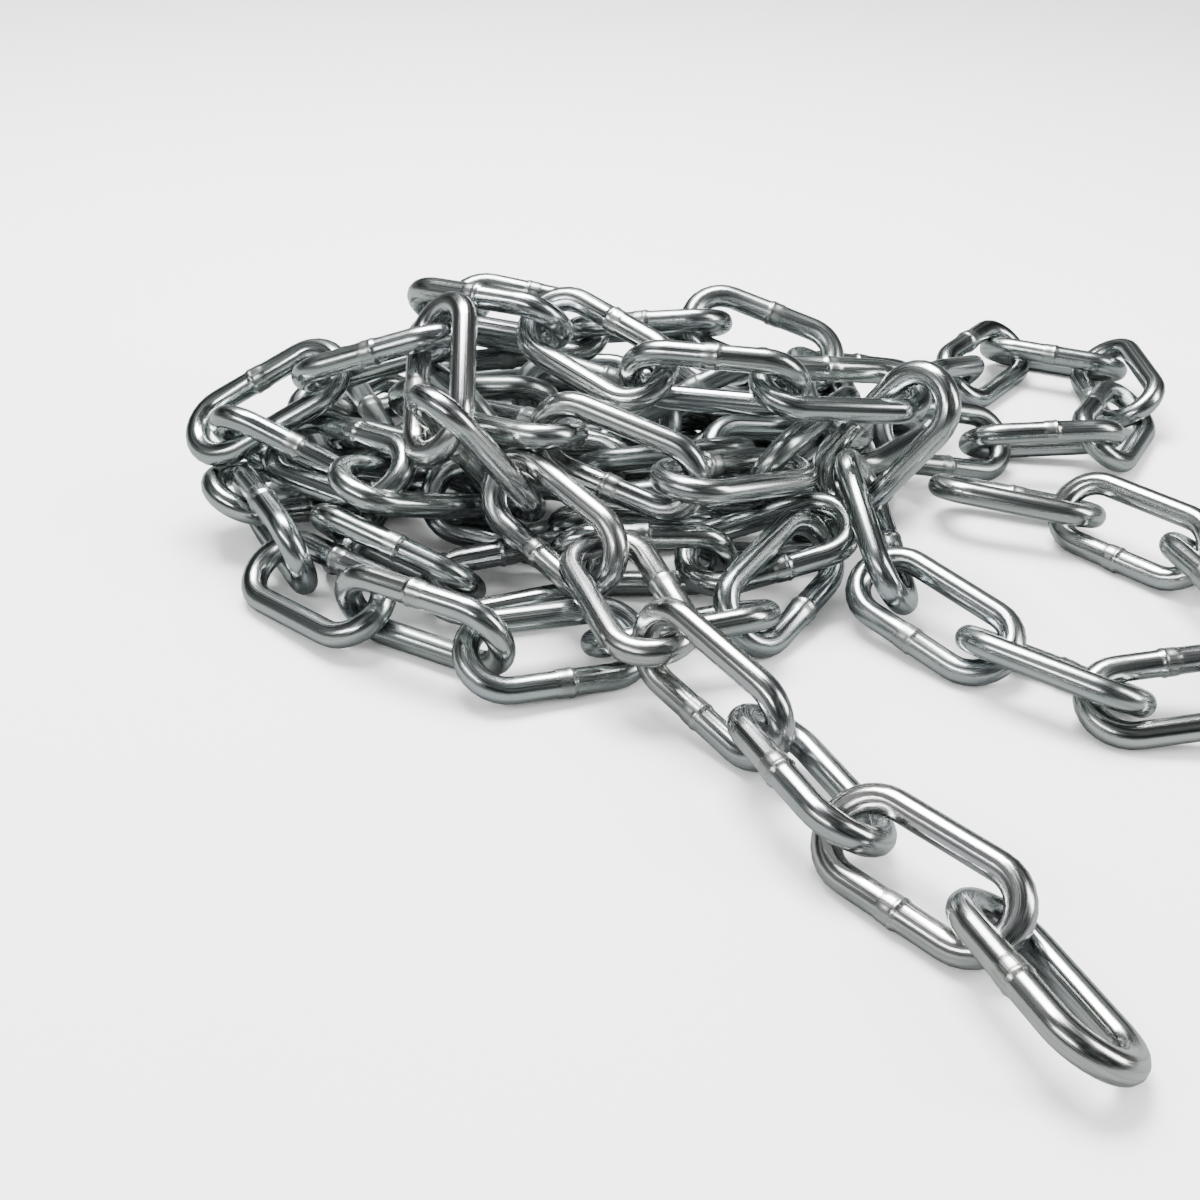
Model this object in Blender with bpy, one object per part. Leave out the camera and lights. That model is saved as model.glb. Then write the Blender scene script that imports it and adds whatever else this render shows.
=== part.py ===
"""A loose heap of welded steel chain, every link a bent ring of round wire.

The chain is one length. It is laid down strand by strand through points chosen by hand, one point
where each link bears on the next, and the links are then eased apart until no two wires overlap.
"""
import math

import bmesh
import bpy
import numpy as np
from mathutils import Matrix, Vector

# Link sizes, in millimetres
WIRE = 5.0
INSIDE_LENGTH = 28.0
INSIDE_WIDTH = 9.0

# Faceted wire: six sides, and four bends in each crown
SIDES = 6
CROWN_STEPS = 4
WIRE_CORNER = 2.6                                   # to a corner of the six-sided section
WIRE_FLAT = WIRE_CORNER * math.cos(math.pi / SIDES)  # to a flat of it

# Centreline of a link
BEND = (INSIDE_WIDTH + WIRE) / 2
HALF_BAR = (INSIDE_LENGTH - INSIDE_WIDTH) / 2
TIP = HALF_BAR + BEND

# How close two centrelines come
CLEARANCE = 5.5                                     # links that touch
JOINED = 4.3                                        # links that share a node
PLAY = 0.06                                         # slack left between neighbours

# Easing
PASSES = 600
GROWING = 200                                       # passes in which the squeezed loops open out
SQUEEZED = 0.15                                     # share of its width a loop starts with
FIRST_GAP = 2.0                                     # gap between strangers at the first pass
LONGEST_STEP = 1.5                                  # most that a link moves in a pass
LARGEST_TURN = 0.12                                 # most that a link turns in a pass, radians
FIRM_FLOOR = 2.5                                    # share of its way up that a sunk link takes
SINK = 0.02                                         # how far a free link sinks in a pass
SINK_ABOVE = 7.0
PULL_BACK = 0.03                                    # share of its way back that a held link takes
TURN_EASE = np.array([1 / 50.0, 1 / 110.0, 1 / 150.0])  # how easily a link turns about each axis

# Names of a strand's links, whether each link has its own node (1) or shares one (0), how firmly
# the strand keeps its place, how far each link leans on its edge in degrees, and the bearing points
STRANDS = [
    ("front_tail", 1, 1.0, (-30, 90, -12, 90, -12, 86, -36, 43),
     [(72, -148, 8), (57, -125, 8), (42, -106, 8), (28, -84, 8), (12, -63, 10), (-2, -41, 16),
      (-18, -22, 22), (-30, -26, 37), (-33, 3, 41)]),
    ("upper_left", 1, 0.9, (-40, 75, 72),
     [(-55, 1, 34), (-79, -7, 15), (-70, -9, 14.5)]),
    ("big_left", 1, 0.9, (112, 20, 70),
     [(-45, -14, 22), (-32, -18, 15), (-7, -12, 11)]),
    ("floor_ring", 0, 0.0, (),
     [(18, -8, 9), (44, -4, 8), (64, 16, 8), (58, 42, 8), (32, 56, 8), (4, 60, 8), (-22, 60, 8),
      (-48, 50, 8), (-66, 30, 8), (-61, 7, 8)]),
    ("left_edge", 1, 0.9, (-10, 75, 5, -52, -3, 50, -65),
     [(-70, -14, 10), (-61, -29, 6), (-44, -48, 5), (-22, -62, 5), (4, -53, 6), (28, -44, 8), (44, -25, 13)]),
    ("under_front", 1, 0.6, (2, -70, -14, -62, 35),
     [(19, -23, 12), (-5, -34, 10), (-28, -35, 10), (-52, -27, 11), (-48, 1, 7)]),
    ("floor_inner", 0, 0.0, (5,),
     [(-24, -6, 7), (0, -2, 7), (26, 10, 7), (38, 32, 8), (14, 38, 7), (-12, 38, 7), (-38, 28, 8),
      (-20, 12, 8), (4, 18, 9), (24, 36, 16), (48, 44, 14)]),
    ("back_loop", 0, 0.7, (),
     [(72, 53, 12), (88, 75, 9), (104, 97, 8), (127, 90, 8), (128, 62, 8), (113, 38, 8),
      (88, 40, 9)]),
    ("middle", 0, 0.0, (),
     [(64, 30, 16), (50, 8, 20), (26, -2, 20), (0, 0, 20), (-26, 4, 20), (-52, 4, 21),
      (-62, 24, 20), (-40, 42, 20), (-13, 46, 21), (14, 42, 24), (34, 26, 28), (10, 14, 28),
      (-16, 14, 30), (-42, 20, 32), (-34, -6, 28)]),
    ("centre", 1, 0.8, (20, 86, 20),
     [(-9, -21, 27), (16, -28, 29), (34, -18, 24)]),
    ("upper", 0, 0.2, (),
     [(48, 8, 22), (44, 30, 24), (20, 38, 32), (-6, 42, 32), (-33, 42, 34), (-39, 18, 40)]),
    ("top", 1, 1.0, (20, -30, 50, 10, 0, 20),
     [(-13, 10, 46), (8, -10, 38), (33, -8, 42), (58, -7, 36), (52, -14, 22), (54, -30, 9)]),
    ("right_strand", 1, 0.9, (-54, 30, -30, 60, -20, 60, 0),
     [(72, -48, 8), (92, -66, 8), (116, -62, 8), (128, -38, 8), (120, -12, 8), (100, 4, 8),
      (77, 13, 8)]),
]
SLACK_LINKS = [("upper_left", 3)]                   # they reach on past their second bearing point
LINKS_IN_A_SHARED_NODE = 3
LEANS = (-45, 45)                                   # for links whose lean isn't chosen

# Links that lie on the floor with a facet of their lower bar and carry the heap
RESTING_LINKS = [("floor_ring", 3), ("floor_ring", 6), ("floor_ring", 9),
                 ("back_loop", 4), ("right_strand", 2), ("front_tail", 1)]
RESTING_LEAN = 30                                   # at this lean, either way, the facet is level
RESTING_HEIGHT = BEND * math.sin(math.radians(RESTING_LEAN)) + WIRE_FLAT


def dot(a, b):
    """Dot products of rows of vectors."""
    return a[..., 0] * b[..., 0] + a[..., 1] * b[..., 1] + a[..., 2] * b[..., 2]


def cross(a, b):
    """Cross products of rows of vectors."""
    return np.stack([a[..., 1] * b[..., 2] - a[..., 2] * b[..., 1],
                     a[..., 2] * b[..., 0] - a[..., 0] * b[..., 2],
                     a[..., 0] * b[..., 1] - a[..., 1] * b[..., 0]], axis=-1)


def unit(a):
    """Rows of vectors at length one."""
    return a / np.sqrt(np.maximum(dot(a, a), 1e-18))[..., None]


def centreline():
    """Corners of a link's faceted centreline, x along the link and y across it."""
    corners = []
    for end in (1, -1):
        for step in range(CROWN_STEPS + 1):
            angle = math.pi * step / CROWN_STEPS - math.pi / 2
            corners.append((end * (HALF_BAR + BEND * math.cos(angle)), end * BEND * math.sin(angle)))
    return np.array(corners)


LOOP = centreline()
CORNERS = len(LOOP)


def read_strands():
    """Bearing points, leans, hold, names and own nodes of all links, and which ones rest or hang slack."""
    points, leans, hold, names, own = [], [], [], [], []
    for name, single, firmness, chosen, through in STRANDS:
        place = 0
        for point in through:
            if points:
                place += 1
                names.append((name, place))
                hold.append(firmness)
                own.append(single)
                free = LEANS[len(names) % 2]
                leans.append(chosen[place - 1] if place <= len(chosen) else free)
            points.append(point)
    points, leans = np.array(points, float), np.array(leans, float)
    resting = np.array([names.index(item) for item in RESTING_LINKS])
    leans[resting] = np.copysign(RESTING_LEAN, leans[resting])
    points[resting, 2] = RESTING_HEIGHT
    points[resting + 1, 2] = RESTING_HEIGHT
    slack = np.array([names.index(item) for item in SLACK_LINKS])
    return points, leans, np.array(hold), names, own, resting, slack


def leaning(along, leans):
    """Axes of links that run along given lines and lean by given angles."""
    up = np.tile(np.array([0.0, 0.0, 1.0]), (len(along), 1))
    side = unit(cross(along, up))
    angle = np.radians(leans)[:, None]
    across = np.cos(angle) * side + np.sin(angle) * cross(side, along)
    return np.stack([along, across, cross(along, across)], axis=2)


def first_places(points, leans, slack):
    """Each link between its two bearing points, or with its tip at the first where it hangs slack.

    Columns of its turn: along, across, up.
    """
    along = unit(points[1:] - points[:-1])
    middle = (points[1:] + points[:-1]) / 2
    middle[slack] = points[slack] + TIP * along[slack]
    return middle, leaning(along, leans)


def loops(middle, turn, width):
    """World corners of every link's centreline, with its width squeezed to a share."""
    along = LOOP[:, 0][None, :, None] * turn[:, None, :, 0]
    across = (width * LOOP[:, 1])[None, :, None] * turn[:, None, :, 1]
    return middle[:, None, :] + along + across


def nearest(start_a, end_a, start_b, end_b):
    """Nearest points of pairs of straight pieces."""
    run_a, run_b, apart = end_a - start_a, end_b - start_b, start_a - start_b
    aa, bb, ab = dot(run_a, run_a), dot(run_b, run_b), dot(run_a, run_b)
    ca, cb = dot(run_a, apart), dot(run_b, apart)
    skew = aa * bb - ab * ab
    s = np.where(skew > 1e-9, np.clip((ab * cb - ca * bb) / np.maximum(skew, 1e-9), 0, 1), 0.0)
    t = np.clip((ab * s + cb) / bb, 0, 1)
    s = np.clip((ab * t - ca) / aa, 0, 1)
    return start_a + s[:, None] * run_a, start_b + t[:, None] * run_b


class Moves:
    """Shifts and turns that a pass asks of the links."""

    def __init__(self, middle, turn):
        self.middle, self.turn = middle, turn
        self.shift = np.zeros_like(middle)
        self.spin = np.zeros_like(middle)
        self.asked = np.zeros(len(middle))

    def share(self, link, point, push):
        """How easily a point of a link gives way to a push, and the turn that goes with it."""
        torque = cross(point - self.middle[link], push)
        local = np.stack([dot(self.turn[link][:, :, k], torque) for k in range(3)], axis=-1)
        eased = local * TURN_EASE
        spin = sum(self.turn[link][:, :, k] * eased[:, k, None] for k in range(3))
        return 1 + dot(local, eased), spin

    def add(self, link, amount, push, spin):
        np.add.at(self.shift, link, amount[:, None] * push)
        np.add.at(self.spin, link, amount[:, None] * spin)
        np.add.at(self.asked, link, 1.0)

    def part(self, link_a, link_b, point_a, point_b, amount):
        """Part two links by an amount at their nearest points, or draw them together if it is negative."""
        push = unit(point_a - point_b)
        give_a, spin_a = self.share(link_a, point_a, push)
        give_b, spin_b = self.share(link_b, point_b, push)
        each = amount / (give_a + give_b)
        self.add(link_a, each, push, spin_a)
        self.add(link_b, -each, push, spin_b)

    def lift(self, link, point, amount):
        """Lift a link at a point."""
        push = np.tile(np.array([0.0, 0.0, 1.0]), (len(link), 1))
        give, spin = self.share(link, point, push)
        self.add(link, amount / give, push, spin)


def piece_pairs(links_a, links_b, corners):
    """Nearest points of every straight piece of each first link to every one of its partner."""
    count = CORNERS * CORNERS
    a, b = np.repeat(links_a, count), np.repeat(links_b, count)
    piece_a = np.tile(np.repeat(np.arange(CORNERS), CORNERS), len(links_a))
    piece_b = np.tile(np.tile(np.arange(CORNERS), CORNERS), len(links_a))
    point_a, point_b = nearest(corners[a, piece_a], corners[a, (piece_a + 1) % CORNERS],
                               corners[b, piece_b], corners[b, (piece_b + 1) % CORNERS])
    gap = np.sqrt(dot(point_a - point_b, point_a - point_b))
    return a, b, point_a, point_b, gap


def turned(turn, spin):
    """Each link's axes turned by its rotation vector and squared up again."""
    angle = np.sqrt(dot(spin, spin))
    axis = spin / np.maximum(angle, 1e-12)[:, None]
    cosine, sine = np.cos(angle)[:, None], np.sin(angle)[:, None]
    columns = []
    for k in range(2):
        v = turn[:, :, k]
        columns.append(v * cosine + cross(axis, v) * sine + axis * dot(axis, v)[:, None] * (1 - cosine))
    along = unit(columns[0])
    across = unit(columns[1] - dot(columns[1], along)[:, None] * along)
    return np.stack([along, across, cross(along, across)], axis=2)


def lay_down(middle, turn, resting, leans):
    """Set the resting links level, each on the lower bar that its lean gives it."""
    middle[resting, 2] = RESTING_HEIGHT
    level = turn[resting, :, 0].copy()
    level[:, 2] = 0.0
    turn[resting] = leaning(unit(level), leans)


def ease_apart(middle, turn, hold, joined, resting):
    """Open the squeezed loops out and part the links until no two wires overlap."""
    count = len(middle)
    home = middle.copy()
    near = np.arange(count - 1)
    rest_gap = np.where(joined, JOINED, CLEARANCE)
    for step in range(PASSES):
        grown = min(1.0, (step + 1) / GROWING)
        width = SQUEEZED + (1 - SQUEEZED) * grown
        stranger_gap = FIRST_GAP + (CLEARANCE - FIRST_GAP) * grown
        moves = Moves(middle, turn)

        if step % 5 == 0:
            apart = middle[:, None, :] - middle[None, :, :]
            reach = np.sqrt(dot(apart, apart)) < 2 * TIP + CLEARANCE + 3.0
            strangers = np.nonzero(np.triu(reach, 2))
        found = piece_pairs(strangers[0], strangers[1], loops(middle, turn, width))
        tight = found[4] < stranger_gap
        moves.part(*[item[tight] for item in found[:4]], stranger_gap - found[4][tight])

        corners = loops(middle, turn, 1.0)
        found = piece_pairs(near, near + 1, corners)
        wanted = rest_gap[found[0]]
        tight = found[4] < wanted
        moves.part(*[item[tight] for item in found[:4]], (wanted - found[4])[tight])

        closest = found[4].reshape(count - 1, -1).argmin(axis=1) + near * CORNERS * CORNERS
        slack = found[4][closest] - rest_gap - PLAY
        loose = closest[slack > 0]
        moves.part(*[item[loose] for item in found[:4]], -slack[slack > 0])

        low_link, low_corner = np.nonzero(corners[:, :, 2] < WIRE_CORNER)
        low_point = corners[low_link, low_corner]
        moves.lift(low_link, low_point, FIRM_FLOOR * (WIRE_CORNER - low_point[:, 2]))

        asked = np.maximum(moves.asked, 1.0)[:, None]
        gain = (1.4 if step < PASSES * 0.8 else 1.0) * np.minimum(asked, 2.0) / asked
        shift, spin = moves.shift * gain, moves.spin * gain
        fade = min(1.0, max(0.0, (PASSES * 0.85 - step) / (PASSES * 0.25)))
        shift += PULL_BACK * fade * hold[:, None] * (home - middle)
        shift[:, 2] -= SINK * fade * (middle[:, 2] > SINK_ABOVE)
        length = np.sqrt(dot(shift, shift))
        shift *= np.minimum(1.0, LONGEST_STEP / np.maximum(length, 1e-9))[:, None]
        angle = np.sqrt(dot(spin, spin))
        spin *= np.minimum(1.0, LARGEST_TURN / np.maximum(angle, 1e-9))[:, None]
        middle = middle + shift
        turn = turned(turn, spin)
        lay_down(middle, turn, *resting)
        middle, turn = np.round(middle, 6), np.round(turn, 9)
    return middle, turn


def link_mesh():
    """One link in metres, made of a six-sided section: bar, crown, bar, crown."""
    scale = 0.001
    mesh = bmesh.new()
    start = (Matrix.Translation((-HALF_BAR * scale, -BEND * scale, 0))
             @ Matrix.Rotation(math.radians(90), 4, "Y") @ Matrix.Rotation(math.radians(90), 4, "Z"))
    bmesh.ops.create_circle(mesh, segments=SIDES, radius=WIRE_CORNER * scale, matrix=start)
    ring = list(mesh.edges)
    for end in (1, -1):
        out = bmesh.ops.extrude_edge_only(mesh, edges=ring)["geom"]
        corners = [item for item in out if isinstance(item, bmesh.types.BMVert)]
        bmesh.ops.translate(mesh, verts=corners, vec=Vector((end * 2 * HALF_BAR * scale, 0, 0)))
        ring = [item for item in out if isinstance(item, bmesh.types.BMEdge)]
        ends = bmesh.ops.spin(mesh, geom=ring, cent=(end * HALF_BAR * scale, 0, 0), axis=(0, 0, 1),
                              angle=math.pi, steps=CROWN_STEPS)["geom_last"]
        ring = [item for item in ends if isinstance(item, bmesh.types.BMEdge)]
    bmesh.ops.remove_doubles(mesh, verts=mesh.verts, dist=1e-6)
    bmesh.ops.recalc_face_normals(mesh, faces=mesh.faces)
    shape = bpy.data.meshes.new("link")
    mesh.to_mesh(shape)
    mesh.free()
    return shape


def zinc():
    """Bright zinc plate."""
    material = bpy.data.materials.new("bright_zinc_plate")
    material.use_nodes = True
    shader = material.node_tree.nodes["Principled BSDF"]
    shader.inputs["Base Color"].default_value = (0.62, 0.64, 0.66, 1.0)
    shader.inputs["Metallic"].default_value = 1.0
    shader.inputs["Roughness"].default_value = 0.22
    return material


def add_object(name, mesh, place):
    """A scene object of a mesh at a place."""
    thing = bpy.data.objects.new(name, mesh)
    bpy.context.scene.collection.objects.link(thing)
    thing.matrix_world = place
    return thing


def drop_pockets(shape):
    """Leave out the specks of empty space that facets shut in where two crowns bear on each other."""
    mesh = bmesh.new()
    mesh.from_mesh(shape)
    mesh.verts.ensure_lookup_table()
    shell = [-1] * len(mesh.verts)
    shells = []
    for vertex in mesh.verts:
        if shell[vertex.index] < 0:
            found, waiting = [], [vertex]
            shell[vertex.index] = len(shells)
            while waiting:
                reached = waiting.pop()
                found.append(reached)
                for edge in reached.link_edges:
                    beside = edge.other_vert(reached)
                    if shell[beside.index] < 0:
                        shell[beside.index] = len(shells)
                        waiting.append(beside)
            shells.append(found)
    shells.sort(key=len)
    for specks in shells[:-1]:
        bmesh.ops.delete(mesh, geom=specks, context="VERTS")
    mesh.to_mesh(shape)
    mesh.free()


def united(name, things):
    """One closed body from links that bear on each other."""
    body = things[0]
    for other in things[1:]:
        union = body.modifiers.new("union", "BOOLEAN")
        union.operation = "UNION"
        union.solver = "EXACT"
        union.object = other
    bpy.context.view_layer.update()
    shape = bpy.data.meshes.new_from_object(body.evaluated_get(bpy.context.evaluated_depsgraph_get()))
    place = body.matrix_world.copy()
    for thing in things:
        bpy.data.objects.remove(thing)
    drop_pockets(shape)
    return add_object(name, shape, place)


def share_nodes(own):
    """Groups of links that share a node, and which links are joined to the next one."""
    groups, joined = [], []
    for index, single in enumerate(own):
        shares = index > 0 and not single and not own[index - 1]
        shares = shares and len(groups[-1]) < LINKS_IN_A_SHARED_NODE
        if shares:
            groups[-1].append(index)
        else:
            groups.append([index])
        if index:
            joined.append(shares)
    return groups, np.array(joined)


def laid_chain():
    """Middle, axes and name of every link, and the groups of links that share a node."""
    points, leans, hold, names, own, resting, slack = read_strands()
    groups, joined = share_nodes(own)
    middle, turn = first_places(points, leans, slack)
    middle, turn = ease_apart(middle, turn, hold, joined, (resting, leans[resting]))
    return middle, turn, names, groups


def to_origin(middle, turn, shape):
    """Shift that brings the origin under the middle of the whole chain, on the floor."""
    corners = np.array([tuple(vertex.co) for vertex in shape.vertices]) * 1000.0
    offset = sum(corners[None, :, k, None] * turn[:, None, :, k] for k in range(3))
    world = middle[:, None, :] + offset
    low, high = world.min(axis=(0, 1)), world.max(axis=(0, 1))
    return np.array([-(low[0] + high[0]) / 2, -(low[1] + high[1]) / 2, -low[2]])


def main():
    for old in list(bpy.data.objects):
        bpy.data.objects.remove(old)

    middle, turn, names, groups = laid_chain()
    shape = link_mesh()
    shape.materials.append(zinc())
    middle = middle + to_origin(middle, turn, shape)
    for group in groups:
        things = []
        for index in group:
            name, place = names[index]
            rows = [list(turn[index][row]) + [middle[index][row] / 1000.0] for row in range(3)]
            things.append(add_object(f"{name}_link_{place:02d}", shape, Matrix(rows + [[0, 0, 0, 1]])))
        if len(things) > 1:
            name, place = names[group[0]]
            united(f"{name}_run_{place:02d}", things)


if __name__ == "__main__":
    main()
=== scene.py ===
"""Detailed visual model of a heap of welded steel chain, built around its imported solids.

Laid out as an add-on and run as a script: it lays the chain as the source of its solids does, and
dresses every link as smooth round wire with a resistance weld in one bar and a bright zinc finish.
"""
import functools
import math
import random

import bmesh
import bpy
import numpy as np
from mathutils import Matrix, Vector


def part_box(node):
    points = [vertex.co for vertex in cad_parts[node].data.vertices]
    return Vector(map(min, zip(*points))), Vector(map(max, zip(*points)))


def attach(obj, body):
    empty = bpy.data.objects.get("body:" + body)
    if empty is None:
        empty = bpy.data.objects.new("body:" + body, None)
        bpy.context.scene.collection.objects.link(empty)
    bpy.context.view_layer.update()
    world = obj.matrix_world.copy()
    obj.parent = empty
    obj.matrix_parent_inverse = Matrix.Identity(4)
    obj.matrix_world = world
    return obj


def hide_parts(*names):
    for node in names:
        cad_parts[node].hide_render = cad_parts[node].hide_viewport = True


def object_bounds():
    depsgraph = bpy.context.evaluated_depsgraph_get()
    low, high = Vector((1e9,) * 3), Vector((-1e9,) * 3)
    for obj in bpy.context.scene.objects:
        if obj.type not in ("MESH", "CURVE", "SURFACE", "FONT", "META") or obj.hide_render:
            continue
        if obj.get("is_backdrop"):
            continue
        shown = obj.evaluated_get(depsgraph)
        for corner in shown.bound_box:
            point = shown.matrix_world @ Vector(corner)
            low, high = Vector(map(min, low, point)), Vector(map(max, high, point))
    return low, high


bl_info = {
    "name": "Chain Heap",
    "version": (1, 0, 0),
    "blender": (4, 5, 0),
    "location": "3D View > Sidebar > Chain",
    "description": "Heap of short-link steel chain with its welds, zinc finish and studio",
    "category": "Object",
}

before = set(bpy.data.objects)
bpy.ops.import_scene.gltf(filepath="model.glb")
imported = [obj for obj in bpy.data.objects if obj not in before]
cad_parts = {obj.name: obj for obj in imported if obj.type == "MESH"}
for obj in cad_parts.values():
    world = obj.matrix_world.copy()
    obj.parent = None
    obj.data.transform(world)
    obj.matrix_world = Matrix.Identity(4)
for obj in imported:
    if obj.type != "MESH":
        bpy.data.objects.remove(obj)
CAD_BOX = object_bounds()
PER_METRE = 1000.0                                  # millimetres

# Link sizes, in millimetres
WIRE = 5.0
INSIDE_LENGTH = 28.0
INSIDE_WIDTH = 9.0

# Faceted wire: six sides, and four bends in each crown
SIDES = 6
CROWN_STEPS = 4
WIRE_CORNER = 2.6                                   # to a corner of the six-sided section
WIRE_FLAT = WIRE_CORNER * math.cos(math.pi / SIDES)  # to a flat of it

# Centreline of a link
BEND = (INSIDE_WIDTH + WIRE) / 2
HALF_BAR = (INSIDE_LENGTH - INSIDE_WIDTH) / 2
TIP = HALF_BAR + BEND

# How close two centrelines come
CLEARANCE = 5.5                                     # links that touch
JOINED = 4.3                                        # links that share a node
PLAY = 0.06                                         # slack left between neighbours

# Easing
PASSES = 600
GROWING = 200                                       # passes in which the squeezed loops open out
SQUEEZED = 0.15                                     # share of its width a loop starts with
FIRST_GAP = 2.0                                     # gap between strangers at the first pass
LONGEST_STEP = 1.5                                  # most that a link moves in a pass
LARGEST_TURN = 0.12                                 # most that a link turns in a pass, radians
FIRM_FLOOR = 2.5                                    # share of its way up that a sunk link takes
SINK = 0.02                                         # how far a link sinks in a pass
SINK_ABOVE = 7.0                                    # height of a link's middle above which it sinks
PULL_BACK = 0.03                                    # share of its way back that a held link takes
TURN_EASE = np.array([1 / 50.0, 1 / 110.0, 1 / 150.0])  # how easily a link turns about each axis
LOOK_AGAIN = 5                                      # passes from one search for strangers to the next
LOOK_BEYOND = 3.0                                   # how far past touching that search looks
OVERSHOOT = 1.4                                     # share of what is asked that a link moves at first
OVERSHOOT_UNTIL = 0.8                               # share of the passes in which it does
PUSHES_IN_FULL = 2.0                                # pushes that add up in full, more are averaged
FADED_AT = 0.85                                     # share of the passes after which no link is drawn back
FADES_OVER = 0.25                                   # share of the passes over which that fades
DECIMALS, TURN_DECIMALS = 6, 9                      # decimals kept after each pass

# Smallest square, number and angle that anything is divided by
LEAST_SQUARE, LEAST, LEAST_ANGLE = 1e-18, 1e-9, 1e-12

# Name, own node (1) or shared (0), firmness of its hold, leans in degrees, and bearing points
STRANDS = [
    ("front_tail", 1, 1.0, (-30, 90, -12, 90, -12, 86, -36, 43),
     [(72, -148, 8), (57, -125, 8), (42, -106, 8), (28, -84, 8), (12, -63, 10), (-2, -41, 16),
      (-18, -22, 22), (-30, -26, 37), (-33, 3, 41)]),
    ("upper_left", 1, 0.9, (-40, 75, 72),
     [(-55, 1, 34), (-79, -7, 15), (-70, -9, 14.5)]),
    ("big_left", 1, 0.9, (112, 20, 70),
     [(-45, -14, 22), (-32, -18, 15), (-7, -12, 11)]),
    ("floor_ring", 0, 0.0, (),
     [(18, -8, 9), (44, -4, 8), (64, 16, 8), (58, 42, 8), (32, 56, 8), (4, 60, 8), (-22, 60, 8),
      (-48, 50, 8), (-66, 30, 8), (-61, 7, 8)]),
    ("left_edge", 1, 0.9, (-10, 75, 5, -52, -3, 50, -65),
     [(-70, -14, 10), (-61, -29, 6), (-44, -48, 5), (-22, -62, 5), (4, -53, 6), (28, -44, 8),
      (44, -25, 13)]),
    ("under_front", 1, 0.6, (2, -70, -14, -62, 35),
     [(19, -23, 12), (-5, -34, 10), (-28, -35, 10), (-52, -27, 11), (-48, 1, 7)]),
    ("floor_inner", 0, 0.0, (5,),
     [(-24, -6, 7), (0, -2, 7), (26, 10, 7), (38, 32, 8), (14, 38, 7), (-12, 38, 7), (-38, 28, 8),
      (-20, 12, 8), (4, 18, 9), (24, 36, 16), (48, 44, 14)]),
    ("back_loop", 0, 0.7, (),
     [(72, 53, 12), (88, 75, 9), (104, 97, 8), (127, 90, 8), (128, 62, 8), (113, 38, 8),
      (88, 40, 9)]),
    ("middle", 0, 0.0, (),
     [(64, 30, 16), (50, 8, 20), (26, -2, 20), (0, 0, 20), (-26, 4, 20), (-52, 4, 21),
      (-62, 24, 20), (-40, 42, 20), (-13, 46, 21), (14, 42, 24), (34, 26, 28), (10, 14, 28),
      (-16, 14, 30), (-42, 20, 32), (-34, -6, 28)]),
    ("centre", 1, 0.8, (20, 86, 20),
     [(-9, -21, 27), (16, -28, 29), (34, -18, 24)]),
    ("upper", 0, 0.2, (),
     [(48, 8, 22), (44, 30, 24), (20, 38, 32), (-6, 42, 32), (-33, 42, 34), (-39, 18, 40)]),
    ("top", 1, 1.0, (20, -30, 50, 10, 0, 20),
     [(-13, 10, 46), (8, -10, 38), (33, -8, 42), (58, -7, 36), (52, -14, 22), (54, -30, 9)]),
    ("right_strand", 1, 0.9, (-54, 30, -30, 60, -20, 60, 0),
     [(72, -48, 8), (92, -66, 8), (116, -62, 8), (128, -38, 8), (120, -12, 8), (100, 4, 8),
      (77, 13, 8)]),
]
SLACK_LINKS = [("upper_left", 3)]                   # they reach on past their second bearing point
LINKS_IN_A_SHARED_NODE = 3
LEANS = (-45, 45)                                   # for links whose lean isn't chosen

# Links that lie on the floor with a facet of their lower bar and carry the heap
RESTING_LINKS = [("floor_ring", 3), ("floor_ring", 6), ("floor_ring", 9),
                 ("back_loop", 4), ("right_strand", 2), ("front_tail", 1)]
RESTING_LEAN = 30                                   # at this lean, either way, the facet is level
RESTING_HEIGHT = BEND * math.sin(math.radians(RESTING_LEAN)) + WIRE_FLAT


def dot(a, b):
    """Dot products of rows of vectors."""
    return a[..., 0] * b[..., 0] + a[..., 1] * b[..., 1] + a[..., 2] * b[..., 2]


def cross(a, b):
    """Cross products of rows of vectors."""
    return np.stack([a[..., 1] * b[..., 2] - a[..., 2] * b[..., 1],
                     a[..., 2] * b[..., 0] - a[..., 0] * b[..., 2],
                     a[..., 0] * b[..., 1] - a[..., 1] * b[..., 0]], axis=-1)


def unit(a):
    """Rows of vectors at length one."""
    return a / np.sqrt(np.maximum(dot(a, a), LEAST_SQUARE))[..., None]


def centreline():
    """Corners of a link's faceted centreline, x along the link and y across it."""
    corners = []
    for end in (1, -1):
        for step in range(CROWN_STEPS + 1):
            angle = math.pi * step / CROWN_STEPS - math.pi / 2
            corners.append((end * (HALF_BAR + BEND * math.cos(angle)), end * BEND * math.sin(angle)))
    return np.array(corners)


LOOP = centreline()
CORNERS = len(LOOP)


def read_strands():
    """Bearing points, leans, hold, names and own nodes of all links, and which ones rest or hang slack."""
    points, leans, hold, names, own = [], [], [], [], []
    for name, single, firmness, chosen, through in STRANDS:
        place = 0
        for point in through:
            if points:
                place += 1
                names.append((name, place))
                hold.append(firmness)
                own.append(single)
                free = LEANS[len(names) % 2]
                leans.append(chosen[place - 1] if place <= len(chosen) else free)
            points.append(point)
    points, leans = np.array(points, float), np.array(leans, float)
    resting = np.array([names.index(item) for item in RESTING_LINKS])
    leans[resting] = np.copysign(RESTING_LEAN, leans[resting])
    points[resting, 2] = RESTING_HEIGHT
    points[resting + 1, 2] = RESTING_HEIGHT
    slack = np.array([names.index(item) for item in SLACK_LINKS])
    return points, leans, np.array(hold), names, own, resting, slack


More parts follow.
